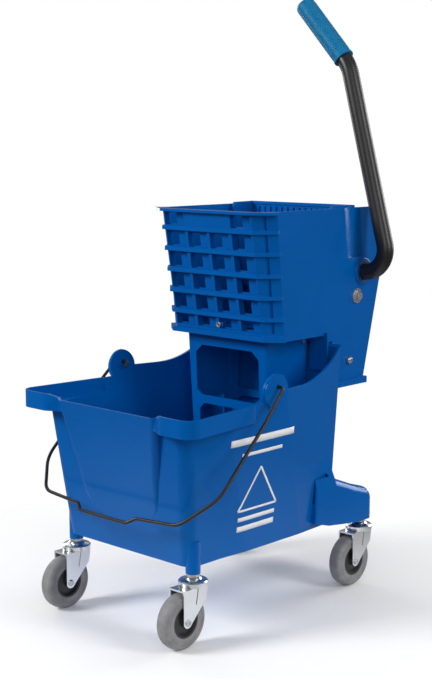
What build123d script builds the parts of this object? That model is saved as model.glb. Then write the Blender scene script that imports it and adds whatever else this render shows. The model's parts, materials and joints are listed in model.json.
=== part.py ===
from build123d import *
import math
import os

# Mop bucket on four swivel casters, with a lift-off side-press wringer.
# Design frame, millimetres: +X is the handle side, -Y the pouring end, +Z up, floor at z = 0.
# Points written as (y, z) lie in a side view, points written as (x, y) in a plan view.

# ---- Driving dimensions ----
WALL = 3.5                  # moulded wall thickness
AIR = 0.3                   # least air between pieces that pass each other
RUN = 0.05                  # radial clearance of a running fit
MIDDLE_Y = 35.5             # design y that ends up over the origin

# Bucket
FLOOR_Z = 112               # underside of the tub
FLOOR_THICK = 4
RIM_Z = 330                 # rim round the front corners
REAR_RIM_Z = 388            # rim at the back wall
TOP_Z = 400                 # height that the tub walls are drawn to before the rim is cut
TUB_LOW = [(128, -160), (125, 146)]
TUB_HIGH = [(145, -188), (133, 155)]
TUB_ROUND = 18              # rounding of the tub's upright corners
SIDE_LOW = [(126.5, -110), (131, -50), (130.5, 70), (125, 146)]
SIDE_HIGH = [(143.8, -165), (158, -112), (157, 8), (133.5, 155)]
SPOUT_EDGE = [(63, 163), (79, 186), (84, 230), (116, 400)]   # (x, z), front view
SPOUT_FACE = [(-166, 163), (-218.5, 400)]                    # (y, z), its front face
SPOUT_DROP = 7              # how much lower the rim is across the spout
FLANGE = [(98, -196), (118, -208), (176.5, -208), (159, -50)]       # band round the front corners
FLANGE_INWARD = [(0.3, 1), (0.3, 1), (-1, 1), (-1, -1)]             # way from its outside to its inside
FLANGE_TALL = 25
FLANGE_ROUND = 20           # rounding of the band's corners, seen from above
DIP_FLAT_X, DIP_END_X = 88, 122     # the lowered rim is level to the first and has risen by the second
SPOUT_ROUND = 9             # rounding of the spout panel's upright ridges
SPOUT_BACK_Y = -100         # back of the spout's solid, inside the tub
HOOK_FRONT_Y = 148          # front of the bridge that hooks the wringer over the back wall
HOOK_AIR = 1                # air between that bridge and the back wall's top
LEG_SPREAD = [(106, 90), (139, 90), (139, 170), (127, 226), (106, 226)]      # (x, z), front view
EAR_Y, EAR_Z, EAR_R = -20, 344, 25
BAIL_Y, BAIL_Z = -18, 350
REAR_WALL_Y = 155           # outer face of the back wall at its top

# Casters
STEM_X, STEM_FRONT_Y, STEM_REAR_Y = 122, -148, 226
STEM_R, STEM_COLLAR_R = 5.5, 9.5
STEM_FOOT_Z = 102           # underside of the stem bosses
CAP_TOP_Z, CAP_LOW_Z, CAP_R = 98, 85.5, 21
TRAIL = 24
WHEEL_R, WHEEL_HALF = 40, 11
HUB_R, AXLE_R = 23, 3
FORK_HALF, FORK_SHEET = 14, 2
CROWN_SHEET = 2.5           # thickness of the fork's crown, which lies under the cap

# Bail
BAIL_DROP = 44              # degrees below the horizontal at rest
BAIL_HALF, BAIL_REACH, WIRE_R = 178, 259, 2.5

# Wringer
SIDE_X = 112                # outer face of the side panels
BASKET_LOW_Z, BASKET_TOP_Z = 404, 590
BASKET_LOW = [(88, 34), (SIDE_X, 54), (SIDE_X, 200)]
BASKET_HIGH = [(89, 4), (SIDE_X, 36), (SIDE_X, 200)]
GRID_PITCH_X, GRID_RIB = 44.5, 6
BAND_Z = [561, 529, 497, 465, 433]
BAND_THICK = 9
CELL_DEEP = 7
PIN_Y, PIN_Z = 206, 356     # hinge of the press plate
SHAFT_Y, SHAFT_Z = 240, 491 # handle shaft
ANCHOR_Y, ANCHOR_Z = 225, 454
REAR_PROFILE = [(243, 320), (284, 484), (278, 514), (256, 590)]
HOUSING_FRONT_Y = 167
HOUSING_FOOT_Z = 320
SIDE_SCREW_Y, SIDE_SCREW_Z = 132, 391
FRONT_SCREW_Z = 418         # screw at the foot of the grid
COVER_POINTS = [(246.8, 360), (258.5, 560)]     # (y, z) where the rear cover meets its screw blocks
COVER_BACK = [(244.4, 327), *REAR_PROFILE[1:3], (257, BASKET_TOP_Z - 4)]     # (y, z) of its outer face
SCREW_R, SCREW_HEAD_R = 2, 4
FRAME_LOW_Z = 180           # foot of the lower frame
WINDOW_HIGH = [(51, 380), (64.5, 368), (64.5, 308), (54, 301)]      # (x, z), right half, front view
WINDOW_LOW = [(50, 288), (60, 279), (60, 214), (50, 204)]

# Press plate and drive
PLATE_LEAN = 4.3            # degrees the plate leans back at rest
PLATE_TALL, PLATE_HALF, PLATE_SKIN = 238, 102, 4
STRIP_BACK = 6              # rear face of the wear strips behind the hinge line
HANDLE_TURN = 60            # degrees
PLATE_RATIO = 0.38          # plate degrees per handle degree
CAM_X, CAM_THICK, CAM_HUB_R = 62, 14, 17
PIN_R = 3                   # spring pins through cams and shaft
HINGE_ROD_R = 5

# Handle
TUBE_R, TUBE_BORE_R = 13, 11
HANDLE_ELBOW = (164.5, SHAFT_Z)
HANDLE_KNEE = (79.5, 804)
HANDLE_END = (-8, 898.7)
GRIP_R = 15.5


# ---- Helpers ----
def at(z_now, low, high, z_low, z_high):
    """Points of an outline at a height, in line with its outlines at two heights."""
    part = (z_now - z_low) / (z_high - z_low)
    return [(a[0] + (b[0] - a[0]) * part, a[1] + (b[1] - a[1]) * part) for a, b in zip(low, high)]


def inset_points(points, inset):
    """Half outline moved in from its front, side and back edges."""
    middle = (points[0][1] + points[-1][1]) / 2
    return [(x - inset, y + inset if y < middle else y - inset) for x, y in points]


def outline(points, radius=0):
    """Closed plan outline from its right half, mirrored to the left."""
    left = [(-x, y) for x, y in reversed(points)]
    face = make_face(Polyline(*points, *left, close=True))
    return fillet(face.vertices(), radius) if radius else face


def tapered(low, high, z_low, z_high, z_from, z_to, inset=0, radius=0):
    """Solid between two heights whose outline follows low and high."""
    faces = []
    for z in (z_from, z_to):
        points = inset_points(at(z, low, high, z_low, z_high), inset)
        faces.append(Pos(0, 0, z) * outline(points, radius))
    return loft(faces, ruled=True)


def side_prism(points, x_from, x_to):
    """Prism along X from an outline in the side view."""
    face = Plane.YZ * make_face(Polyline(*points, close=True))
    return Pos(x_from, 0, 0) * extrude(face, amount=x_to - x_from)


def block(x, y, z):
    """Box from its low and high limits on each axis."""
    size = [high - low for low, high in (x, y, z)]
    middle = [(high + low) / 2 for low, high in (x, y, z)]
    return Pos(*middle) * Box(*size)


def bar_x(radius, x_from, x_to, y, z):
    """Round bar along X."""
    return Pos((x_from + x_to) / 2, y, z) * Rot(0, 90, 0) * Cylinder(radius, abs(x_to - x_from))


def bar_y(radius, y_from, y_to, x, z):
    """Round bar along Y."""
    return Pos(x, (y_from + y_to) / 2, z) * Rot(90, 0, 0) * Cylinder(radius, abs(y_to - y_from))


def post(radius, z_from, z_to, x, y):
    """Round bar along Z."""
    return Pos(x, y, (z_from + z_to) / 2) * Cylinder(radius, z_to - z_from)


def joined(shapes):
    """Union of a list of solids."""
    total = shapes[0]
    for shape in shapes[1:]:
        total = total + shape
    return total


def both_sides(shape):
    """The shape and its mirror image across the middle."""
    return shape + mirror(shape, about=Plane.YZ)


# ---- Bucket ----
def spout(inset):
    """Raised front panel with rounded upright ridges, which flares out to the pouring edge."""
    (low_y, low_z), (high_y, high_z) = SPOUT_FACE
    sections = []
    for x, z in SPOUT_EDGE:
        y = low_y + (high_y - low_y) * (z - low_z) / (high_z - low_z)
        half = [(x - inset, y + inset), (x - inset, SPOUT_BACK_Y)]
        lift = inset if z == low_z else 0
        sections.append(Pos(0, 0, z + lift) * outline(half, SPOUT_ROUND - inset))
    return loft(sections, ruled=True)


def corner_band(inset, z_from):
    """Band round the front corners below the rim, or the hollow in it. It dies out into the spout."""
    half = [(x + inset * way_x, y + inset * way_y) for (x, y), (way_x, way_y) in zip(FLANGE, FLANGE_INWARD)]
    return extrude(Pos(0, 0, z_from) * outline(half, FLANGE_ROUND - inset), amount=RIM_Z + 4 - z_from)


def spout_dip():
    """What is cut off the rim across the spout, rising smoothly at both ends."""
    low_z, high_z = RIM_Z - SPOUT_DROP, RIM_Z + 1
    rise = Spline((DIP_FLAT_X, low_z), (DIP_END_X, high_z), tangents=[(1, 0), (1, 0.05)])
    fall = Spline((-DIP_END_X, high_z), (-DIP_FLAT_X, low_z), tangents=[(1, -0.05), (1, 0)])
    level = Line((-DIP_FLAT_X, low_z), (DIP_FLAT_X, low_z))
    over = Polyline((DIP_END_X, high_z), (DIP_END_X, TOP_Z), (-DIP_END_X, TOP_Z), (-DIP_END_X, high_z))
    face = make_face([*fall.edges(), *level.edges(), *rise.edges(), *over.edges()])
    return Pos(0, -120, 0) * extrude(Plane.XZ * face, amount=120)


def rim_cutter():
    """Everything above the rim line, seen from the side."""
    back = ThreePointArc((50, 342), (112, 355), (158, REAR_RIM_Z))
    path = Polyline((-230, RIM_Z), (EAR_Y, RIM_Z), (EAR_Y, 343), (50, 342))
    over = Polyline((158, REAR_RIM_Z), (190, REAR_RIM_Z), (190, 430), (-230, 430), (-230, RIM_Z))
    face = make_face([*path.edges(), *back.edges(), *over.edges()])
    face -= Pos(EAR_Y, EAR_Z) * Circle(EAR_R)
    return Pos(-210, 0, 0) * extrude(Plane.YZ * face, amount=420)


def leg():
    """Hollow outrigger that carries a rear caster."""
    side = [(98, 122), (102, 224), (136, 224), (146, 184), (200, 163), (242, 150), (242, STEM_FOOT_Z + 2),
            (200, STEM_FOOT_Z + 2), (130, 113)]
    inner = [(102, 100), (97, 194), (129, 194), (140, 180), (199, 159), (238, 147), (238, 100)]
    solid = side_prism(side, 106, 139)
    rounded = solid.edges().filter_by(Axis.X).group_by(Axis.Y)[-1]
    solid = fillet(rounded.group_by(Axis.Z)[-1], 20)
    solid = fillet(solid.edges().filter_by(Axis.Z), 15)
    solid = fillet(solid.faces().sort_by(Axis.X)[-1].edges().filter_by(lambda e: e.center().Z > 140), 3)
    solid &= Pos(0, 260, 0) * extrude(Plane.XZ * make_face(Polyline(*LEG_SPREAD, close=True)), amount=200)
    return solid - side_prism(inner, 110, 135)


def bucket_shell():
    """Tub with spout, flange, bail ears, stem bosses and rear legs, moulded in one."""
    tub = tapered(TUB_LOW, TUB_HIGH, FLOOR_Z, RIM_Z, FLOOR_Z, TOP_Z, 0, TUB_ROUND)
    sides = tapered(SIDE_LOW, SIDE_HIGH, FLOOR_Z, RIM_Z, FLOOR_Z, TOP_Z)
    inside = tapered(TUB_LOW, TUB_HIGH, FLOOR_Z, RIM_Z, FLOOR_Z + FLOOR_THICK, TOP_Z + 2, WALL,
                     TUB_ROUND - WALL)
    inside += tapered(SIDE_LOW, SIDE_HIGH, FLOOR_Z, RIM_Z, FLOOR_Z + FLOOR_THICK, TOP_Z + 2, WALL)
    inside += spout(WALL) + corner_band(WALL, RIM_Z - FLANGE_TALL + WALL)
    shell = tub + sides + spout(0) + corner_band(0, RIM_Z - FLANGE_TALL)
    shell += both_sides(bar_x(EAR_R - 1, 150, 162.5, EAR_Y, EAR_Z))
    shell += both_sides(leg())
    shell += block((-118, 118), (REAR_WALL_Y - 3, REAR_WALL_Y + 7), (REAR_RIM_Z - 14, REAR_RIM_Z))
    shell -= inside
    shell -= rim_cutter()
    shell -= spout_dip()
    for y in (STEM_FRONT_Y, STEM_REAR_Y):
        shell += both_sides(post(10.5, STEM_FOOT_Z, 148, STEM_X, y))
    for y in (STEM_FRONT_Y, STEM_REAR_Y):
        shell -= both_sides(post(STEM_R + RUN, STEM_FOOT_Z - 1, 143, STEM_X, y))
    return shell - bar_x(WIRE_R + 0.6, -170, 170, BAIL_Y, BAIL_Z)


def bail_wire():
    """One bent wire, hooked through the two ears."""
    tail_x, tail_r = 146, 9
    half = [(tail_x, tail_r), (tail_x, 0), (BAIL_HALF - 5, 0), (BAIL_HALF, 60), (BAIL_HALF, 190),
            (138, 243), (60, 249), (48, BAIL_REACH)]
    radii = [3, 6, 60, 52, 30, 6, 6]
    points = half + [(-x, r) for x, r in reversed(half)]
    path = FilletPolyline(*points, radius=[*radii, *reversed(radii)])
    drop = math.radians(BAIL_DROP)
    plane = Plane(origin=(0, BAIL_Y, BAIL_Z), x_dir=(1, 0, 0), z_dir=(0, -math.sin(drop), math.cos(drop)))
    wire = sweep(Plane(path @ 0, z_dir=path % 0) * Circle(WIRE_R), path=path)
    return plane * mirror(wire, about=Plane.XZ)


# ---- Casters, each drawn with its stem on the Z axis and the wheel trailing towards -Y ----
def caster_stem():
    """Stem pressed into its boss, with a collar above the cap and a rivet head under the crown."""
    stem = post(STEM_R, 80, 141, 0, 0)
    stem += post(STEM_COLLAR_R, CAP_TOP_Z + AIR, STEM_FOOT_Z, 0, 0)
    return stem + post(STEM_R + 3, 79.5, CAP_LOW_Z - CROWN_SHEET - AIR, 0, 0)


def caster_cap():
    """Domed bearing cap crimped onto the crown."""
    half = [(STEM_R + RUN, CAP_LOW_Z), (CAP_R - 1, CAP_LOW_Z), (CAP_R, CAP_LOW_Z + 1), (CAP_R, 92),
            (CAP_R - 1.5, 93.5), (13, 95.2), (11.5, 97), (10.5, CAP_TOP_Z), (STEM_R + RUN, CAP_TOP_Z)]
    return revolve(Plane.XZ * make_face(Polyline(*half, close=True)), axis=Axis.Z)


def caster_fork():
    """Pressed steel fork: crown, two tapered legs with a stiffening fold."""
    low_z = CAP_LOW_Z - CROWN_SHEET
    front_y = -TRAIL - 8
    crown = block((-FORK_HALF, FORK_HALF), (front_y, 15), (low_z, CAP_LOW_Z))
    crown = fillet(crown.edges().filter_by(Axis.Z).group_by(Axis.Y)[-1], 8)
    half = make_face(Polyline((front_y, CAP_LOW_Z), (front_y, WHEEL_R), (-TRAIL + 7, WHEEL_R - 4),
                              (12, 66), (15, CAP_LOW_Z), close=True))
    half += Pos(-TRAIL, WHEEL_R) * Circle(8)
    sheet = Pos(FORK_HALF - FORK_SHEET, 0, 0) * extrude(Plane.YZ * half, amount=FORK_SHEET)
    rib = side_prism([(-4, 84), (-8, 62), (-5, 62), (1, 84)], FORK_HALF, FORK_HALF + 1)
    fork = crown + both_sides(sheet + rib)
    fork -= post(STEM_R + RUN, 70, 95, 0, 0)
    return fork - bar_x(AXLE_R, -20, 20, -TRAIL, WHEEL_R)


def caster_axle():
    """Axle rivet with a head on each side."""
    axle = bar_x(AXLE_R, -FORK_HALF - 1, FORK_HALF + 1, -TRAIL, WHEEL_R)
    head = bar_x(4.6, FORK_HALF, FORK_HALF + 2.4, -TRAIL, WHEEL_R)
    head = fillet(head.edges().group_by(Axis.X)[-1], 1.2) - bar_x(1.6, FORK_HALF + 1.4, 20, -TRAIL, WHEEL_R)
    return axle + both_sides(head)


def caster_hub():
    """Dished plastic hub."""
    half = [(AXLE_R + RUN, -11.5), (7, -11.5), (8, -7), (18, -5), (20.5, -10), (HUB_R, -10), (HUB_R, 10),
            (20.5, 10), (18, 5), (8, 7), (7, 11.5), (AXLE_R + RUN, 11.5)]
    hub = revolve(Plane.XZ * make_face(Polyline(*half, close=True)), axis=Axis.Z)
    return Pos(0, -TRAIL, WHEEL_R) * Rot(0, 90, 0) * hub


def caster_tyre():
    """Rubber tyre with rounded shoulders and a slightly crowned tread."""
    side = WHEEL_HALF
    profile = make_face([*Polyline((HUB_R, -side + 1), (HUB_R + 4, -side), (WHEEL_R - 6, -side)).edges(),
                         *ThreePointArc((WHEEL_R - 6, -side), (WHEEL_R - 1.9, -side + 2.6),
                                        (WHEEL_R - 0.5, -side + 6)).edges(),
                         *ThreePointArc((WHEEL_R - 0.5, -side + 6), (WHEEL_R, 0),
                                        (WHEEL_R - 0.5, side - 6)).edges(),
                         *ThreePointArc((WHEEL_R - 0.5, side - 6), (WHEEL_R - 1.9, side - 2.6),
                                        (WHEEL_R - 6, side)).edges(),
                         *Polyline((WHEEL_R - 6, side), (HUB_R + 4, side), (HUB_R, side - 1),
                                   (HUB_R, -side + 1)).edges()])
    tyre = revolve(Plane.XZ * profile, axis=Axis.Z)
    return Pos(0, -TRAIL, WHEEL_R) * Rot(0, 90, 0) * tyre


# ---- Wringer ----
def front_y_at(z):
    """Outer face of the front grid at a height."""
    return at(z, BASKET_LOW, BASKET_HIGH, BASKET_LOW_Z, BASKET_TOP_Z)[0][1]


def basket_slice(z_from, z_to, inset):
    """Solid with the basket's plan between two heights, inset or, if negative, proud."""
    points = at((z_from + z_to) / 2, BASKET_LOW, BASKET_HIGH, BASKET_LOW_Z, BASKET_TOP_Z)
    proud = [(x - inset, y + inset) for x, y in points[:2]] + [(SIDE_X, points[1][1] + 6)]
    proud += [(SIDE_X - 4, 120)]
    return extrude(Pos(0, 0, z_from) * outline(proud), amount=z_to - z_from)


def grid_cells():
    """Pockets between the ribs of the front, each with a square drain hole at its left."""
    cutters = []
    bounds = [586, *BAND_Z, 408]
    for row in range(len(bounds) - 1):
        top = bounds[row] - (BAND_THICK / 2 if row else 0)
        low = bounds[row + 1] + BAND_THICK / 2
        for column in range(4):
            if row == 0 and column in (1, 2):
                continue
            x_low = (column - 2) * GRID_PITCH_X + GRID_RIB / 2
            x_high = x_low + GRID_PITCH_X - GRID_RIB
            pocket = [(front_y_at(low) - 20, low), (front_y_at(low) + CELL_DEEP, low),
                      (front_y_at(top) + CELL_DEEP, top), (front_y_at(top) - 20, top)]
            cutters.append(side_prism(pocket, x_low, x_high))
            hole_top = low + min(21, top - low - 2)
            cutters.append(block((x_low + 1, x_low + 18), (-20, 70), (low + 1.5, hole_top)))
    return cutters


def corner_slots():
    """Vertical groove down the middle of each corner facet."""
    middle = []
    for z in (BASKET_LOW_Z + 8, BASKET_TOP_Z - 8):
        a, b = at(z, BASKET_LOW, BASKET_HIGH, BASKET_LOW_Z, BASKET_TOP_Z)[:2]
        middle.append(((a[0] + b[0]) / 2, (a[1] + b[1]) / 2, z))
    path = Line(*middle)
    groove = sweep(Plane(path @ 0, z_dir=path % 0) * Circle(2.6), path=path)
    return both_sides(groove)


def shoulder_scoop(radius):
    """Shallow upright scoop in the side panel above the shaft, as the cutter that makes it."""
    scoop = Pos(SIDE_X + 40.5, 216, 550) * Rot(7, 0, 0) * Cylinder(radius, 240)
    return both_sides(scoop & block((60, 200), (150, 300), (SHAFT_Z + 23, BASKET_TOP_Z + 20)))


def wringer_housing():
    """Basket with its grid front, side panels, floor and rear housing, moulded in one."""
    rear = [(HOUSING_FRONT_Y, HOUSING_FOOT_Z), *REAR_PROFILE, (150, BASKET_TOP_Z),
            (150, BASKET_LOW_Z - 4), (HOUSING_FRONT_Y, BASKET_LOW_Z - 4)]
    rear_inside = [(HOUSING_FRONT_Y + WALL, HOUSING_FOOT_Z + WALL), (340, HOUSING_FOOT_Z + WALL),
                   (340, 620), (150, 620), (150, BASKET_LOW_Z), (HOUSING_FRONT_Y + WALL, BASKET_LOW_Z)]
    shell = tapered(BASKET_LOW, BASKET_HIGH, BASKET_LOW_Z, BASKET_TOP_Z, BASKET_LOW_Z - 4, BASKET_TOP_Z)
    shell += side_prism(rear, -SIDE_X, SIDE_X)
    shell += joined([basket_slice(z - 3, z + 3, -3) for z in BAND_Z])
    shell += basket_slice(BASKET_LOW_Z - 4, BASKET_LOW_Z + 4, -5)
    shell += rim()
    shell -= shoulder_scoop(45)
    foot_z = (HOUSING_FOOT_Z - 4, HOUSING_FOOT_Z + 6)
    shell += block((-SIDE_X - 4, SIDE_X + 4), (HOUSING_FRONT_Y + 6, 249), foot_z)
    inside = tapered(BASKET_LOW, BASKET_HIGH, BASKET_LOW_Z, BASKET_TOP_Z,
                     BASKET_LOW_Z, BASKET_TOP_Z + 8, WALL)
    inside -= front_wall_core()
    inside += side_prism(rear_inside, -SIDE_X + WALL, SIDE_X - WALL)
    shell -= inside - shoulder_scoop(45 + WALL)
    shell -= joined(grid_cells())
    shell -= corner_slots()
    shell += housing_bosses()
    shell += both_sides(block((84, 118), (146, 149.5), (346, BASKET_LOW_Z)))
    hook_z = (REAR_RIM_Z + HOOK_AIR, BASKET_LOW_Z)
    shell += block((-SIDE_X, SIDE_X), (HOOK_FRONT_Y, HOUSING_FRONT_Y + 1), hook_z)
    seat_y = front_y_at(FRONT_SCREW_Z) + 3.4
    shell += bar_y(7, seat_y, front_y_at(FRONT_SCREW_Z) + CELL_DEEP + WALL, 0, FRONT_SCREW_Z)
    shell -= bar_y(SCREW_R, 20, 44, 0, FRONT_SCREW_Z)
    shell -= bar_y(4.5, 0, seat_y, 0, FRONT_SCREW_Z)
    for z, x in cover_screw_places():
        shell -= bar_y(SCREW_R, 234, 300, x, z)
    shell -= bar_x(SCREW_R, -85, 85, SIDE_SCREW_Y, SIDE_SCREW_Z)
    for slot in range(5):
        x = (slot - 2) * 36
        shell -= block((x - 5, x + 5), (62, 146), (380, BASKET_LOW_Z + 2))
    shell -= bar_x(HINGE_ROD_R + RUN, -130, 130, PIN_Y, PIN_Z)
    shell -= bar_x(4, -130, 130, ANCHOR_Y, ANCHOR_Z)
    return shell - bar_x(17, -130, 130, SHAFT_Y, SHAFT_Z)


def front_wall_core():
    """Extra thickness of the front wall that the grid pockets are sunk into."""
    extra = CELL_DEEP + WALL
    wall = [(front_y_at(BASKET_LOW_Z) - 5, BASKET_LOW_Z), (front_y_at(BASKET_LOW_Z) + extra, BASKET_LOW_Z),
            (front_y_at(BASKET_TOP_Z) + extra, BASKET_TOP_Z), (front_y_at(BASKET_TOP_Z) - 5, BASKET_TOP_Z)]
    return side_prism(wall, -92, 92)


def rim():
    """Flat rim round the front and corners of the basket."""
    plan = [(88, -3), (122, 19), (122, 25), (SIDE_X, 40), (SIDE_X - 2, 60)]
    return extrude(Pos(0, 0, BASKET_TOP_Z - 4) * outline(plan), amount=4)


def housing_bosses():
    """Shaft bosses on both sides and blocks that the screws bite into."""
    ring = bar_x(21, SIDE_X - 10, SIDE_X + 2.5, SHAFT_Y, SHAFT_Z)
    ring = fillet(ring.edges().group_by(Axis.X)[-1], 2)
    anchor = bar_x(9, SIDE_X - 9, SIDE_X, ANCHOR_Y, ANCHOR_Z)
    hinge = bar_x(9, SIDE_X - 6, SIDE_X, PIN_Y, PIN_Z)
    across = (SIDE_X - 16, SIDE_X - WALL + 1)
    blocks = joined([block(across, (y - 12, y), (z - 6, z + 6)) for y, z in COVER_POINTS])
    tabs = block((62, 74), (SIDE_SCREW_Y - 7, SIDE_SCREW_Y + 5), (386, BASKET_LOW_Z - 3))
    return both_sides(ring + anchor + hinge + blocks + tabs)


def profile_strip(points, thick):
    """Outline of a bent sheet that follows points in the side view, thickened forwards."""
    front = [(y - thick, z) for y, z in reversed(points)]
    return [*points, *front]


def rear_cover():
    """Bent panel that closes the drive compartment from behind."""
    half = SIDE_X - WALL - AIR
    panel = side_prism(profile_strip(COVER_BACK, WALL), -half, half)
    panel += block((-half, half), (236, 256), (BASKET_TOP_Z - 4 - WALL, BASKET_TOP_Z - 4))
    rib = [(262, 392), (268.5, 392), (282, 470), (276, 470)]
    panel += joined([side_prism(rib, x - 1.5, x + 1.5) for x in (-20, 20)])
    for z, x in cover_screw_places():
        panel -= bar_y(SCREW_R, 200, 320, x, z)
        panel -= bar_y(SCREW_HEAD_R, rear_face_y(z) - 0.8, 320, x, z)
    return panel


def cover_screw_places():
    """z and x of the four cover screws."""
    return [(z, side * (SIDE_X - 10)) for _, z in COVER_POINTS for side in (-1, 1)]


def rear_face_y(z):
    """Rear face of the cover at a height."""
    for (y_a, z_a), (y_b, z_b) in zip(COVER_BACK, COVER_BACK[1:]):
        if z_a <= z <= z_b:
            return y_a + (y_b - y_a) * (z - z_a) / (z_b - z_a)


def cover_screws():
    """Pan-head screws of the rear cover."""
    screws = []
    for z, x in cover_screw_places():
        face = rear_face_y(z)
        head = bar_y(SCREW_HEAD_R, face - 0.8, face + 2.2, x, z)
        head = fillet(head.edges().group_by(Axis.Y)[-1], 1.2)
        screws.append(head + bar_y(SCREW_R, face - 12, face, x, z))
    return screws


def frame_outline(z):
    """Plan of the lower frame at a height, right half."""
    return at(z, [(76, 59), (76, 141)], [(82, 49.5), (82, 147)], FRAME_LOW_Z, BASKET_LOW_Z - 4 - AIR)


def lower_frame():
    """Open frame under the basket that stands in the tub, with windows front and sides."""
    low, high = FRAME_LOW_Z, BASKET_LOW_Z - 4 - AIR
    outer = loft([Pos(0, 0, z) * outline(frame_outline(z), 5) for z in (low, high)], ruled=True)
    inner = []
    for z in (low - 2, high + 2):
        inner.append(Pos(0, 0, z) * outline(inset_points(frame_outline(z), WALL), 2))
    frame = outer - loft(inner, ruled=True)
    frame -= Pos(0, 20, 0) * extrude(Plane.XZ * outline(WINDOW_HIGH), amount=-60)
    frame -= Pos(0, 20, 0) * extrude(Plane.XZ * outline(WINDOW_LOW), amount=-160)
    frame -= block((-60, 60), (120, 170), (300, 372))
    frame -= block((-100, 100), (80, 126), (210, 290))
    return frame - bar_x(SCREW_R, -100, 100, SIDE_SCREW_Y, SIDE_SCREW_Z)


def frame_screws():
    """Screw through the foot of the grid and one through each side of the lower frame."""
    front_y = front_y_at(FRONT_SCREW_Z)
    front = bar_y(4.5, front_y + 0.6, front_y + 3.4, 0, FRONT_SCREW_Z)
    front += bar_y(SCREW_R, front_y + 3, front_y + 10, 0, FRONT_SCREW_Z)
    side = bar_x(SCREW_HEAD_R, 82.1, 84.4, SIDE_SCREW_Y, SIDE_SCREW_Z)
    side += bar_x(SCREW_R, 66, 83, SIDE_SCREW_Y, SIDE_SCREW_Z)
    return [front, side, mirror(side, about=Plane.YZ)]


def plate_frame(solid):
    """Place a solid drawn upright at the hinge into the plate's rest position."""
    return Pos(0, PIN_Y, PIN_Z) * Rot(-PLATE_LEAN, 0, 0) * solid


def press_plate():
    """Hinged plate with side wings, stiffening ribs behind and flutes in front."""
    plate = block((-PLATE_HALF, PLATE_HALF), (-PLATE_SKIN, 0), (0, PLATE_TALL))
    wing = side_prism([(-2, 92), (-14, 104), (-50, PLATE_TALL - 10), (-48, PLATE_TALL - 4), (-2, PLATE_TALL)],
                      PLATE_HALF - PLATE_SKIN, PLATE_HALF)
    plate += both_sides(wing)
    plate += block((-PLATE_HALF, PLATE_HALF), (-6, 6), (PLATE_TALL - 5, PLATE_TALL))
    for z in (40, 96, 190):
        plate += block((-96, 96), (-1, STRIP_BACK - 2), (z - 2, z + 2))
    for x in (-96, -30, 30, 96):
        plate += block((x - 2, x + 2), (-1, STRIP_BACK - 1), (6, PLATE_TALL))
    for side in (-1, 1):
        plate += block((side * CAM_X - 10, side * CAM_X + 10), (-1, STRIP_BACK - 2), (40, 160))
    for x in range(-84, 85, 12):
        plate += block((x - 1.5, x + 1.5), (-PLATE_SKIN - 3, -PLATE_SKIN + 1), (52, PLATE_TALL - 8))
    plate += bar_x(9, -PLATE_HALF, PLATE_HALF, 0, 0)
    plate -= bar_x(HINGE_ROD_R + RUN, -120, 120, 0, 0)
    return plate_frame(plate)


def wear_strips():
    """Steel strips on the back of the plate where the cams press."""
    strip = block((CAM_X - 8, CAM_X + 8), (STRIP_BACK - 2, STRIP_BACK), (44, 156))
    return [plate_frame(strip), plate_frame(mirror(strip, about=Plane.YZ))]


def cam_outline():
    """Cam edge that keeps the wear strip's turn in step with the handle's, shaft at the origin."""
    shaft_y, shaft_z = SHAFT_Y - PIN_Y, SHAFT_Z - PIN_Z
    steps = 10
    edge = []
    for step in range(steps + 1):
        handle = math.radians(HANDLE_TURN * step / steps)
        plate = handle * PLATE_RATIO - math.radians(PLATE_LEAN)
        reach = shaft_y * math.cos(plate) + shaft_z * math.sin(plate) - STRIP_BACK - AIR
        slide = (shaft_z * math.cos(plate) - shaft_y * math.sin(plate)) * PLATE_RATIO / (1 + PLATE_RATIO)
        facing = math.pi + plate + handle
        edge.append((reach * math.cos(facing) - slide * math.sin(facing),
                     reach * math.sin(facing) + slide * math.cos(facing)))
    return edge


def press_cam(x):
    """Nylon cam pinned to the shaft."""
    edge = cam_outline()
    tip = edge[-1]
    curve = Spline(*edge)
    back = Polyline(tip, (CAM_HUB_R, -12), (0, 0), (-CAM_HUB_R + 4, -10), edge[0])
    face = make_face([*curve.edges(), *back.edges()]) + Circle(CAM_HUB_R)
    cam = Pos(x - CAM_THICK / 2, SHAFT_Y, SHAFT_Z) * extrude(Plane.YZ * face, amount=CAM_THICK)
    cam -= bar_x(TUBE_R + 0.02, x - 20, x + 20, SHAFT_Y, SHAFT_Z)
    return cam - post(PIN_R + 0.02, SHAFT_Z - 60, SHAFT_Z + 30, x, SHAFT_Y)


def cam_pins():
    """Spring pins that lock the cams to the shaft."""
    return [post(PIN_R, SHAFT_Z - 18, SHAFT_Z + 20.5, side * CAM_X, SHAFT_Y) for side in (-1, 1)]


def handle_tube():
    """Bent steel tube: shaft through the housing, elbow, long arm and a knee below the grip."""
    points = [(-118, SHAFT_Z), HANDLE_ELBOW, HANDLE_KNEE, HANDLE_END]
    path = FilletPolyline(*points, radius=[35, 60])
    path = Pos(0, SHAFT_Y, 0) * Plane.XZ.location * path
    start = Plane(path @ 0, z_dir=path % 0)
    tube = sweep(start * Circle(TUBE_R), path=path) - sweep(start * Circle(TUBE_BORE_R), path=path)
    for side in (-1, 1):
        tube -= post(PIN_R + 0.02, SHAFT_Z - 30, SHAFT_Z + 30, side * CAM_X, SHAFT_Y)
    return tube


def grip_plane():
    """Plane at the top of the knee, facing along the grip."""
    run_x, run_z = HANDLE_END[0] - HANDLE_KNEE[0], HANDLE_END[1] - HANDLE_KNEE[1]
    length = math.hypot(run_x, run_z)
    direction = Vector(run_x / length, 0, run_z / length)
    origin = Vector(HANDLE_KNEE[0], SHAFT_Y, HANDLE_KNEE[1]) + direction * 15
    return Plane(origin=origin, x_dir=(0, 1, 0), z_dir=direction), length - 15


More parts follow.
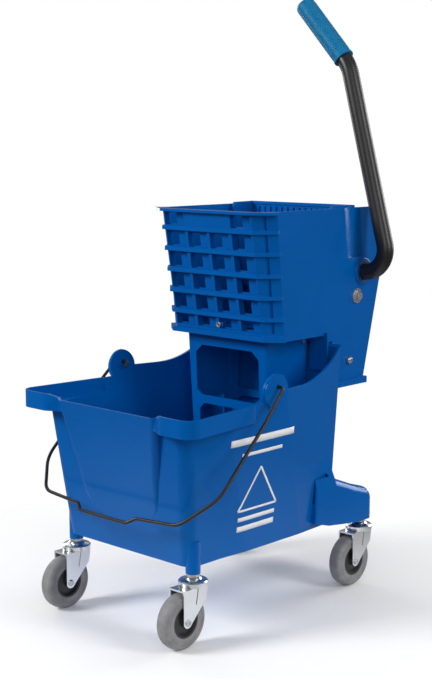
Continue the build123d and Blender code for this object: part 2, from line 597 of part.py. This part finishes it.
def handle_grip():
    """Vinyl sleeve with a closed, domed end and a small lip at its mouth."""
    plane, reach = grip_plane()
    top = reach + 4.5
    profile = [(TUBE_R, 0), (GRIP_R + 0.7, 0), (GRIP_R + 0.7, 3), (GRIP_R, 4), (GRIP_R, top - 5),
               (GRIP_R - 1.5, top - 1.5), (GRIP_R - 5, top), (0, top), (0, reach), (TUBE_R, reach)]
    return plane * revolve(Plane.XZ * make_face(Polyline(*profile, close=True)), axis=Axis.Z)


def tube_end_cap():
    """Push-in cap that retains the left end of the shaft."""
    cap = bar_x(16, -124, -118, SHAFT_Y, SHAFT_Z)
    cap = fillet(cap.edges().group_by(Axis.X)[0], 3)
    return cap + bar_x(TUBE_BORE_R, -118, -104, SHAFT_Y, SHAFT_Z)


def bushing(side):
    """Flanged nylon bearing of the shaft in a side panel."""
    outer = bar_x(17, side * (SIDE_X - 12), side * (SIDE_X + 3), SHAFT_Y, SHAFT_Z)
    outer += bar_x(20, side * (SIDE_X - 12), side * (SIDE_X - 10), SHAFT_Y, SHAFT_Z)
    return outer - bar_x(TUBE_R + RUN, -140, 140, SHAFT_Y, SHAFT_Z)


def return_spring(side):
    """Torsion spring round the shaft, one leg on the anchor bolt and one beside the cam."""
    coil_r, wire, turns, pitch = 17.5, 1.5, 4, 4.4
    helix = Helix(pitch=pitch, height=pitch * turns, radius=coil_r)
    start = Plane(helix @ 0, z_dir=helix % 0)
    coil = sweep(start * Circle(wire), path=helix)
    spring = Pos(76, SHAFT_Y, SHAFT_Z) * Rot(0, 90, 0) * coil
    near_x = 76 + pitch * turns
    spring += post(wire, ANCHOR_Z - 2, SHAFT_Z - coil_r + 3, near_x - 1, SHAFT_Y - 9.3)
    spring += post(wire, SHAFT_Z - 44, SHAFT_Z - coil_r + 1, 76 + 1, SHAFT_Y)
    return spring if side > 0 else mirror(spring, about=Plane.YZ)


def hinge_rod():
    """Rod that the press plate swings on."""
    return bar_x(HINGE_ROD_R, -SIDE_X - 1, SIDE_X + 1, PIN_Y, PIN_Z)


def hinge_rod_nuts():
    """Cap nuts on both ends of the hinge rod."""
    hexagon = extrude(RegularPolygon(6.5, 6), amount=2.2, both=True)
    nut = Pos(SIDE_X + 2.2, PIN_Y, PIN_Z) * Rot(0, 90, 0) * hexagon
    dome = bar_x(4.2, SIDE_X + 4, SIDE_X + 6.4, PIN_Y, PIN_Z)
    nut += fillet(dome.edges().group_by(Axis.X)[-1], 1.6)
    nut -= bar_x(HINGE_ROD_R, 100, SIDE_X + 1, PIN_Y, PIN_Z)
    return [nut, mirror(nut, about=Plane.YZ)]


def anchor_bolts():
    """Bolts that the return springs hook onto."""
    bolt = bar_x(4, SIDE_X - 26, SIDE_X + 7, ANCHOR_Y, ANCHOR_Z)
    bolt += bar_x(6, SIDE_X - 29, SIDE_X - 26, ANCHOR_Y, ANCHOR_Z)
    return [bolt, mirror(bolt, about=Plane.YZ)]


def anchor_washers():
    """Large washers outside the side panels."""
    washer = bar_x(11.5, SIDE_X, SIDE_X + 1.6, ANCHOR_Y, ANCHOR_Z) - bar_x(4, 100, 130, ANCHOR_Y, ANCHOR_Z)
    return [washer, mirror(washer, about=Plane.YZ)]


def anchor_nuts():
    """Hexagon nuts on the anchor bolts."""
    hexagon = extrude(RegularPolygon(7.2, 6), amount=2.4, both=True)
    nut = Pos(SIDE_X + 4, ANCHOR_Y, ANCHOR_Z) * Rot(0, 90, 0) * hexagon
    nut -= bar_x(4, 100, 130, ANCHOR_Y, ANCHOR_Z)
    return [nut, mirror(nut, about=Plane.YZ)]


# ---- Export ----
def save(name, shape):
    """Write one node, moved so that the origin is under the middle of the whole object."""
    shapes = shape if isinstance(shape, list) else [shape]
    moved = [Pos(0, -MIDDLE_Y, 0) * each for each in shapes]
    solids = [solid for each in moved for solid in each.solids()]
    export_step(Compound(children=solids) if len(solids) > 1 else solids[0], f"parts/{name}.step")


def main():
    os.makedirs("parts", exist_ok=True)
    save("bucket_shell", bucket_shell())
    save("bail_wire", bail_wire())
    pieces = {"stem": caster_stem(), "cap": caster_cap(), "fork": caster_fork(), "axle": caster_axle(),
              "hub": caster_hub(), "tyre": caster_tyre()}
    corners = {"front_left": (-STEM_X, STEM_FRONT_Y), "front_right": (STEM_X, STEM_FRONT_Y),
               "rear_left": (-STEM_X, STEM_REAR_Y), "rear_right": (STEM_X, STEM_REAR_Y)}
    for corner, (x, y) in corners.items():
        for piece, shape in pieces.items():
            save(f"caster_{piece}_{corner}", Pos(x, y, 0) * shape)
    save("wringer_housing", wringer_housing())
    save("lower_frame", lower_frame())
    save("rear_cover", rear_cover())
    save("rear_cover_screws", cover_screws())
    save("frame_screws", frame_screws())
    save("press_plate", press_plate())
    save("wear_strips", wear_strips())
    save("hinge_rod", hinge_rod())
    save("hinge_rod_nuts", hinge_rod_nuts())
    save("anchor_bolts", anchor_bolts())
    save("anchor_washers", anchor_washers())
    save("anchor_nuts", anchor_nuts())
    save("handle_tube", handle_tube())
    save("handle_grip", handle_grip())
    save("tube_end_cap", tube_end_cap())
    save("cam_pins", cam_pins())
    for name, side in (("left", -1), ("right", 1)):
        save(f"press_cam_{name}", press_cam(side * CAM_X))
        save(f"bushing_{name}", bushing(side))
        save(f"return_spring_{name}", return_spring(side))


main()
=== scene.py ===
import json
import math

import bmesh
import bpy
from mathutils import Matrix, Vector
from mathutils.bvhtree import BVHTree


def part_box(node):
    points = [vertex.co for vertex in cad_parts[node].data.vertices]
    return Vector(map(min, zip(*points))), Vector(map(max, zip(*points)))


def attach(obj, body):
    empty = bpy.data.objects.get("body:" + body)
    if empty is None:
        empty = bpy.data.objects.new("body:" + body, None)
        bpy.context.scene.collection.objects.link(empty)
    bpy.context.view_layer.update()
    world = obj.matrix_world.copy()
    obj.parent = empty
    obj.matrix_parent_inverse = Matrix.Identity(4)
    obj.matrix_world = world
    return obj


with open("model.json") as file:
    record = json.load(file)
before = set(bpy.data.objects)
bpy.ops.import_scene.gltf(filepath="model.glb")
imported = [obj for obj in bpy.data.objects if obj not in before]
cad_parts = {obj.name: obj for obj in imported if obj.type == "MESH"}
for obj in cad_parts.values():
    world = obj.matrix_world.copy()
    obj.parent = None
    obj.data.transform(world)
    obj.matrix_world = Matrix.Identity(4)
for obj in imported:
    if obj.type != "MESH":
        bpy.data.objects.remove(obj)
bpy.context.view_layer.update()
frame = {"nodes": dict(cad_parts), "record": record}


NODES = frame["nodes"]
SLOT_OF = {part["node"]: part["material_slot"] for part in frame["record"]["subparts"]}
CORNERS = ("front_left", "front_right", "rear_left", "rear_right")


def put(name, data):
    """A new object in the scene that holds a mesh, a camera or a light."""
    obj = bpy.data.objects.new(name, data)
    bpy.context.scene.collection.objects.link(obj)
    return obj


# ---- Materials ----

NOISE_LOW, NOISE_HIGH = 0.35, 0.65      # noise at which a colour or roughness range starts and ends
DRIFT_DETAIL = 4                        # detail of the noise behind colour and roughness


def fill(node, values):
    """Sets inputs of a shader node by their names."""
    for key, value in values.items():
        node.inputs[key].default_value = value


class Graph:
    """A material's nodes, with the principled shader ready."""

    def __init__(self, name, colour, roughness, metallic=0.0, specular=0.5):
        self.material = bpy.data.materials.new(name)
        self.material.use_nodes = True
        self.tree = self.material.node_tree
        self.shader = self.tree.nodes["Principled BSDF"]
        fill(self.shader, {"Base Color": (*colour, 1), "Roughness": roughness,
                           "Metallic": metallic, "Specular IOR Level": specular})
        self.place = self.add("ShaderNodeTexCoord").outputs["Object"]

    def add(self, kind, **values):
        """A new node with some of its properties set."""
        node = self.tree.nodes.new(kind)
        for key, value in values.items():
            setattr(node, key, value)
        return node

    def link(self, output, socket):
        self.tree.links.new(output, socket)

    def noise(self, scale, detail, stretch=(1, 1, 1)):
        """Noise in the object's own space."""
        mapping = self.add("ShaderNodeMapping")
        fill(mapping, {"Scale": stretch})
        self.link(self.place, mapping.inputs["Vector"])
        texture = self.add("ShaderNodeTexNoise")
        fill(texture, {"Scale": scale, "Detail": detail})
        self.link(mapping.outputs["Vector"], texture.inputs["Vector"])
        return texture.outputs["Fac"]

    def vary_colour(self, scale, low, high):
        """Base colour that drifts between two close shades."""
        ramp = self.add("ShaderNodeValToRGB")
        dark, light = ramp.color_ramp.elements
        dark.position, dark.color = NOISE_LOW, (*low, 1)
        light.position, light.color = NOISE_HIGH, (*high, 1)
        self.link(self.noise(scale, DRIFT_DETAIL), ramp.inputs["Fac"])
        self.link(ramp.outputs["Color"], self.shader.inputs["Base Color"])

    def vary_roughness(self, scale, low, high, stretch=(1, 1, 1)):
        """Roughness that drifts between two values."""
        spread = self.add("ShaderNodeMapRange")
        fill(spread, {"From Min": NOISE_LOW, "From Max": NOISE_HIGH, "To Min": low, "To Max": high})
        self.link(self.noise(scale, DRIFT_DETAIL, stretch), spread.inputs["Value"])
        self.link(spread.outputs["Result"], self.shader.inputs["Roughness"])

    def bump(self, height, strength, distance):
        """Fine relief from a height."""
        relief = self.add("ShaderNodeBump")
        fill(relief, {"Strength": strength, "Distance": distance})
        self.link(height, relief.inputs["Height"])
        self.link(relief.outputs["Normal"], self.shader.inputs["Normal"])


def blue_plastic():
    """Moulded plastic of the bucket and the wringer, smooth and slightly wavy."""
    graph = Graph("blue_plastic", (0.0, 0.1, 0.39), 0.2, specular=0.34)
    fill(graph.shader, {"Specular Tint": (0.3, 0.6, 1.0, 1.0)})
    graph.vary_colour(7, (0.0, 0.095, 0.375), (0.0, 0.104, 0.40))
    graph.vary_roughness(38, 0.17, 0.23)
    graph.bump(graph.noise(9, 2), 0.06, 0.001)
    return graph.material


def grip_vinyl():
    """Soft blue sleeve of the handle."""
    graph = Graph("grip_vinyl", (0.004, 0.15, 0.32), 0.42, specular=0.2)
    fill(graph.shader, {"Specular Tint": (0.5, 0.8, 1.0, 1.0)})
    graph.vary_colour(90, (0.003, 0.135, 0.30), (0.006, 0.165, 0.345))
    graph.vary_roughness(140, 0.36, 0.5)
    graph.bump(graph.noise(620, 2), 0.25, 0.0004)
    return graph.material


def black_paint(name, roughness):
    """Smooth black paint on steel."""
    graph = Graph(name, (0.012, 0.012, 0.013), roughness, specular=0.4)
    graph.vary_roughness(22, roughness - 0.03, roughness + 0.04)
    graph.vary_colour(16, (0.011, 0.011, 0.012), (0.015, 0.015, 0.016))
    return graph.material


def steel(name, low, high, rough_low, rough_high):
    """Bare or dull plated steel, with a grain that runs across z."""
    grain = (1, 1, 4)       # squeezes the noise along z
    graph = Graph(name, high, rough_low, metallic=1.0)
    graph.vary_colour(55, low, high)
    graph.vary_roughness(160, rough_low, rough_high, grain)
    graph.bump(graph.noise(300, 3, grain), 0.05, 0.0002)
    return graph.material


def bright_zinc():
    """Bright plating of the caster caps and forks."""
    graph = Graph("bright_zinc", (0.76, 0.78, 0.8), 0.2, metallic=1.0)
    graph.vary_colour(14, (0.73, 0.75, 0.77), (0.79, 0.81, 0.83))
    graph.vary_roughness(30, 0.18, 0.24)
    return graph.material


def soft_plastic(name, low, high, roughness):
    """Matt plastic with a fine grain."""
    graph = Graph(name, high, roughness)
    graph.vary_colour(45, low, high)
    graph.vary_roughness(110, roughness - 0.06, roughness + 0.08)
    graph.bump(graph.noise(700, 2), 0.12, 0.0003)
    return graph.material


def rubber():
    """Grey rubber of the tyres."""
    graph = Graph("grey_tyre", (0.22, 0.22, 0.225), 0.55, specular=0.35)
    graph.vary_colour(70, (0.19, 0.19, 0.195), (0.25, 0.25, 0.255))
    graph.vary_roughness(150, 0.48, 0.66)
    graph.bump(graph.noise(500, 4), 0.18, 0.0004)
    return graph.material


MATERIALS = {
    "blue_plastic": blue_plastic(),
    "nylon_blue": soft_plastic("nylon_blue", (0.004, 0.045, 0.16), (0.008, 0.06, 0.2), 0.42),
    "grip_vinyl": grip_vinyl(),
    "black_tube": black_paint("black_tube", 0.36),
    "black_wire": black_paint("black_wire", 0.38),
    "bright_zinc": bright_zinc(),
    "zinc_steel": steel("zinc_steel", (0.5, 0.5, 0.52), (0.66, 0.66, 0.68), 0.26, 0.4),
    "spring_steel": steel("spring_steel", (0.26, 0.26, 0.27), (0.38, 0.38, 0.39), 0.3, 0.42),
    "nylon": soft_plastic("nylon", (0.6, 0.59, 0.55), (0.72, 0.71, 0.67), 0.45),
    "hub_plastic": soft_plastic("hub_plastic", (0.016, 0.016, 0.018), (0.026, 0.026, 0.028), 0.4),
    "grey_tyre": rubber(),
    "mark_white": soft_plastic("mark_white", (0.78, 0.79, 0.8), (0.86, 0.87, 0.88), 0.45),
}

# ---- CAD nodes ----

# Width of the rounding on the edges of a node, in metres.
EDGE_ROUND = {"bucket_shell": 0.0016, "wringer_housing": 0.0012, "lower_frame": 0.0010,
              "rear_cover": 0.0010, "press_plate": 0.0010}
for corner in CORNERS:
    EDGE_ROUND[f"caster_fork_{corner}"] = 0.0005

WELD_GAP = 0.00002
FLAT_ANGLE = math.radians(0.6)          # faces that meet at less than this are joined
SHARP_ANGLE = math.radians(32)          # edges that bend more than this are rounded


def soften(node, width):
    """Rounds the moulded edges of a CAD node with modifiers, which leave its mesh as it is."""
    weld = node.modifiers.new("weld", "WELD")
    weld.merge_threshold = WELD_GAP
    flat = node.modifiers.new("flat", "DECIMATE")
    flat.decimate_type = "DISSOLVE"
    flat.angle_limit = FLAT_ANGLE
    bevel = node.modifiers.new("bevel", "BEVEL")
    bevel.width = width
    bevel.segments = 2
    bevel.limit_method = "ANGLE"
    bevel.angle_limit = SHARP_ANGLE
    bevel.use_clamp_overlap = True
    normal = node.modifiers.new("normal", "WEIGHTED_NORMAL")
    normal.weight = 80


for name, node in NODES.items():
    node.data.materials.clear()
    node.data.materials.append(MATERIALS[SLOT_OF[name]])
    if name in EDGE_ROUND:
        soften(node, EDGE_ROUND[name])

# ---- Detail pieces ----


def new_piece(name, mesh, body, material):
    """A mesh as a smooth piece that rides on a body."""
    obj = put(name, mesh)
    mesh.materials.clear()
    mesh.materials.append(MATERIALS[material])
    for face in mesh.polygons:
        face.use_smooth = True
    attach(obj, body)
    return obj


def mesh_from(name, bm):
    """A mesh with what a bmesh holds, which is freed."""
    mesh = bpy.data.meshes.new(name)
    bm.to_mesh(mesh)
    bm.free()
    return mesh


def surface(node):
    """A CAD node's faces, ready for rays."""
    mesh = NODES[node].data
    corners = [v.co for v in mesh.vertices]
    return BVHTree.FromPolygons(corners, [tuple(f.vertices) for f in mesh.polygons])


MARK_PROUD = 0.00035        # how far the printed mark stands off the wall
MARK_THICK = 0.0002
MARK_STEP = 0.004           # spacing of the points that follow the wall
MARK_LINE = 0.0032          # width of the triangle's outline

# Places on the wall as shares of the bucket's length and height.
MARK_TRIANGLE = ((0.295, 0.26), (0.475, 0.26), (0.385, 0.47))
MARK_MIDDLE = 0.385
# Height and half length of each bar as shares, and its width in metres.
MARK_BARS = ((0.62, 0.15, 0.010), (0.55, 0.095, 0.005), (0.215, 0.085, 0.006), (0.165, 0.085, 0.008))


def mark_strokes():
    """Both ends of each stroke of the mark, as (y, z), and its width."""
    low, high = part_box("bucket_shell")

    def spot(u, v):
        return low.y + (high.y - low.y) * u, low.z + (high.z - low.z) * v

    corners = [spot(u, v) for u, v in MARK_TRIANGLE]
    strokes = [(corners[i], corners[(i + 1) % 3], MARK_LINE) for i in range(3)]
    for v, half, width in MARK_BARS:
        strokes.append((spot(MARK_MIDDLE - half, v), spot(MARK_MIDDLE + half, v), width))
    return strokes


def strip(tree, start, end, width):
    """Rows of points of a printed stroke, laid on the right-hand wall."""
    start, end = Vector((0, *start)), Vector((0, *end))
    along = (end - start).normalized()
    across = Vector((0, -along.z, along.y)) * width / 2
    steps = max(1, round((end - start).length / MARK_STEP))
    rows = []
    for i in range(steps + 1):
        middle = start.lerp(end, i / steps)
        row = []
        for side in (1, -1):
            point = middle + across * side
            hit, normal = tree.ray_cast(Vector((1, point.y, point.z)), Vector((-1, 0, 0)))[:2]
            row.append(hit + normal * MARK_PROUD)
        rows.append(row)
    return rows


def printed_mark():
    """Plain mark on the right-hand wall: a triangle outline between bars, with no lettering."""
    tree = surface("bucket_shell")
    points, faces = [], []
    for start, end, width in mark_strokes():
        rows = strip(tree, start, end, width)
        for i in range(len(rows) - 1):
            k = len(points) + 2 * i
            faces.append((k, k + 1, k + 3, k + 2))
        for row in rows:
            points.extend(row)
    mesh = bpy.data.meshes.new("printed_mark")
    mesh.from_pydata(points, [], faces)
    obj = new_piece("printed_mark", mesh, "bucket", "mark_white")
    thick = obj.modifiers.new("thick", "SOLIDIFY")
    thick.thickness = MARK_THICK
    thick.offset = 0


GRIP_LIP = 0.0007                               # how far the lip at the grip's foot stands out
GRIP_RUN = Vector((-0.6786, 0, 0.7345))         # the way the grip points
PAD_RINGS, PADS_ROUND = 26, 22
PAD_START, PAD_SPREAD = 0.10, 0.82              # stretch of the grip with pads, as shares of its length
PAD_SIZE = (0.0013, 0.0010, 0.00045)            # half sizes round the grip, along it and outward


def grip_axis():
    """Low and high ends of the grip's middle line, and its radius above the lip."""
    low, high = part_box("handle_grip")
    radius = (high.y - low.y) / 2 - GRIP_LIP
    middle = (low + high) / 2
    span = ((high.z - low.z) - 2 * radius * abs(GRIP_RUN.x)) / GRIP_RUN.z
    return middle - GRIP_RUN * span / 2, middle + GRIP_RUN * span / 2, radius


def grip_pads():
    """Rows of small raised pads that roughen the grip, in a plain repeated pattern."""
    foot, top, radius = grip_axis()
    along = (top - foot).normalized()
    side = Vector((0, 1, 0))
    up = along.cross(side)
    length = (top - foot).length
    size = Matrix.Diagonal((*PAD_SIZE, 1))
    bm = bmesh.new()
    for ring in range(PAD_RINGS):
        centre = foot + along * length * (PAD_START + PAD_SPREAD * ring / (PAD_RINGS - 1))
        for k in range(PADS_ROUND):
            turn = 2 * math.pi * (k + 0.5 * (ring % 2)) / PADS_ROUND
            out = side * math.cos(turn) + up * math.sin(turn)
            place = Matrix((out.cross(along), along, out)).transposed().to_4x4()
            place.translation = centre + out * radius
            bmesh.ops.create_icosphere(bm, subdivisions=1, radius=1, matrix=place @ size)
    new_piece("grip_pads", mesh_from("grip_pads", bm), "handle", "grip_vinyl")


def ring_mesh(name, centre, axis, radius, wire, turns=72, sides=8):
    """Thin raised ring round an axis."""
    axis = axis.normalized()
    first = axis.orthogonal().normalized()
    second = axis.cross(first)
    points, faces = [], []
    for i in range(turns):
        turn = 2 * math.pi * i / turns
        out = first * math.cos(turn) + second * math.sin(turn)
        for k in range(sides):
            tip = 2 * math.pi * k / sides
            points.append(centre + out * (radius + wire * math.cos(tip)) + axis * wire * math.sin(tip))
    for i in range(turns):
        for k in range(sides):
            n, m = (i + 1) % turns, (k + 1) % sides
            faces.append((i * sides + k, n * sides + k, n * sides + m, i * sides + m))
    mesh = bpy.data.meshes.new(name)
    mesh.from_pydata(points, [], faces)
    return mesh


TYRE_RING_SHARE = 0.78      # radius of the moulded ring as a share of the tyre's
TYRE_RING_WIRE = 0.0006


def tyre_rings(corner):
    """Moulded ring on both faces of a tyre."""
    low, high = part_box(f"caster_tyre_{corner}")
    middle = (low + high) / 2
    radius = (high.z - low.z) / 2 * TYRE_RING_SHARE
    for side, x in (("in", low.x), ("out", high.x)):
        centre = Vector((x, middle.y, middle.z))
        mesh = ring_mesh(f"tyre_ring_{side}_{corner}", centre, Vector((1, 0, 0)), radius, TYRE_RING_WIRE)
        new_piece(mesh.name, mesh, f"wheel_{corner}", "grey_tyre")


FACE_DEPTH = 0.0001                             # how far back a point still counts as on a screw's face
SCREW_RING_SHARE, SCREW_RING_WIRE = 0.72, 0.0005
SOCKET_FOOT_SHARE, SOCKET_TOP_SHARE = 0.45, 0.38
SOCKET_DEPTH, SOCKET_SUNK = 0.0008, 0.0001      # the hexagon's height, and how far its middle is sunk


def screw_face(node, side):
    """Centre and radius of the outermost screw's face on a node, seen from one side."""
    mesh = NODES[node].data
    reach = max(v.co.dot(side) for v in mesh.vertices)
    face = [v.co for v in mesh.vertices if v.co.dot(side) > reach - FACE_DEPTH]
    low = Vector([min(p[i] for p in face) for i in range(3)])
    high = Vector([max(p[i] for p in face) for i in range(3)])
    return (low + high) / 2, max(high - low) / 2


def screw_socket(name, node, side, body):
    """Ring on a screw's head, and a low near-black hexagon that stands for its socket: its dark colour
    is painted shade for the socket's hollow.
    """
    centre, radius = screw_face(node, side)
    ring = ring_mesh(f"{name}_ring", centre, side, radius * SCREW_RING_SHARE, SCREW_RING_WIRE, turns=32)
    new_piece(ring.name, ring, body, "zinc_steel")
    turn = side.to_track_quat("Z", "Y").to_matrix().to_4x4()
    place = Matrix.Translation(centre - side * SOCKET_SUNK) @ turn
    bm = bmesh.new()
    bmesh.ops.create_cone(bm, cap_ends=True, segments=6, radius1=radius * SOCKET_FOOT_SHARE,
                          radius2=radius * SOCKET_TOP_SHARE, depth=SOCKET_DEPTH, matrix=place)
    socket = mesh_from(f"{name}_socket", bm)
    # The near-black hub plastic on this hexagon is painted shade for the hollow of the screw's socket.
    new_piece(socket.name, socket, body, "hub_plastic")


printed_mark()
grip_pads()
screw_socket("front_screw", "frame_screws", Vector((0, -1, 0)), "wringer")
for corner in CORNERS:
    tyre_rings(corner)

# ---- Camera, floor and light ----

CAMERA_PLACE = (1.37096, -1.46099, 0.69434)
CAMERA_DOWN, CAMERA_TURN = 8.506, 43.338        # degrees


def camera():
    """Camera at the photograph's viewing angle."""
    data = bpy.data.cameras.new("camera")
    data.lens = 71.36
    data.sensor_width = 36
    data.sensor_fit = "AUTO"
    data.clip_end = 50
    obj = put("camera", data)
    obj.location = CAMERA_PLACE
    obj.rotation_euler = (math.radians(90 - CAMERA_DOWN), 0, math.radians(CAMERA_TURN))
    bpy.context.scene.camera = obj


FLOOR_FULL, FLOOR_GONE = 0.15, 0.85     # distances over which the floor fades into the backdrop
FLOOR_MARGIN = 0.2


def floor():
    """Pale floor that fades out into the white backdrop, so that no horizon shows."""
    half = FLOOR_GONE + FLOOR_MARGIN
    corners = [(-half, -half, 0), (half, -half, 0), (half, half, 0), (-half, half, 0)]
    mesh = bpy.data.meshes.new("floor")
    mesh.from_pydata(corners, [], [(0, 1, 2, 3)])
    obj = put("floor", mesh)
    graph = Graph("floor_white", (0.9, 0.9, 0.9), 0.6, specular=0.15)
    graph.vary_colour(2, (0.89, 0.89, 0.89), (0.91, 0.91, 0.91))
    reach = graph.add("ShaderNodeVectorMath", operation="LENGTH")
    graph.link(graph.place, reach.inputs[0])
    fade = graph.add("ShaderNodeMapRange", interpolation_type="SMOOTHSTEP")
    fill(fade, {"From Min": FLOOR_FULL, "From Max": FLOOR_GONE, "To Min": 1, "To Max": 0})
    graph.link(reach.outputs["Value"], fade.inputs["Value"])
    graph.link(fade.outputs["Result"], graph.shader.inputs["Alpha"])
    mesh.materials.append(graph.material)


BACKDROP_STRENGTH, ROOM_STRENGTH = 1.0, 0.13


def backdrop():
    """White for the camera, and a dimmer room that lights the object and reflects in it."""
    world = bpy.data.worlds.new("studio")
    world.use_nodes = True
    tree = world.node_tree
    white = tree.nodes["Background"]
    fill(white, {"Color": (1, 1, 1, 1), "Strength": BACKDROP_STRENGTH})
    room = tree.nodes.new("ShaderNodeBackground")
    fill(room, {"Color": (1, 1, 1, 1), "Strength": ROOM_STRENGTH})
    rays = tree.nodes.new("ShaderNodeLightPath")
    choose = tree.nodes.new("ShaderNodeMixShader")
    tree.links.new(rays.outputs["Is Camera Ray"], choose.inputs["Fac"])
    tree.links.new(room.outputs["Background"], choose.inputs[1])
    tree.links.new(white.outputs["Background"], choose.inputs[2])
    tree.links.new(choose.outputs["Shader"], tree.nodes["World Output"].inputs["Surface"])
    bpy.context.scene.world = world
    bpy.context.scene.view_settings.view_transform = "Standard"


LIGHT_TARGET = Vector((0, 0, 0.4))
LIGHTS = (                              # name, place, width and height, watts
    ("key", (-1.2, -2.3, 1.8), (1.0, 1.0), 70),
    ("corner", (1.75, -1.75, 1.25), (1.2, 1.6), 17),
    ("side", (2.4, 0.5, 1.5), (0.7, 1.8), 33),
    ("top", (0.1, 0.3, 2.8), (1.4, 1.4), 12),
    ("back", (-1.8, 2.0, 1.9), (2.4, 1.4), 9),
    ("rear", (0.5, 2.6, 1.1), (1.6, 1.2), 30),
    ("left", (-2.6, 0.4, 1.0), (1.4, 1.2), 24),
)


def area_light(name, place, size, watts):
    """Soft rectangular panel that faces the object."""
    data = bpy.data.lights.new(name, "AREA")
    data.shape = "RECTANGLE"
    data.size, data.size_y = size
    data.energy = watts
    obj = put(name, data)
    obj.location = place
    obj.rotation_euler = (LIGHT_TARGET - Vector(place)).to_track_quat("-Z", "Y").to_euler()


camera()
floor()
backdrop()
for light in LIGHTS:
    area_light(*light)
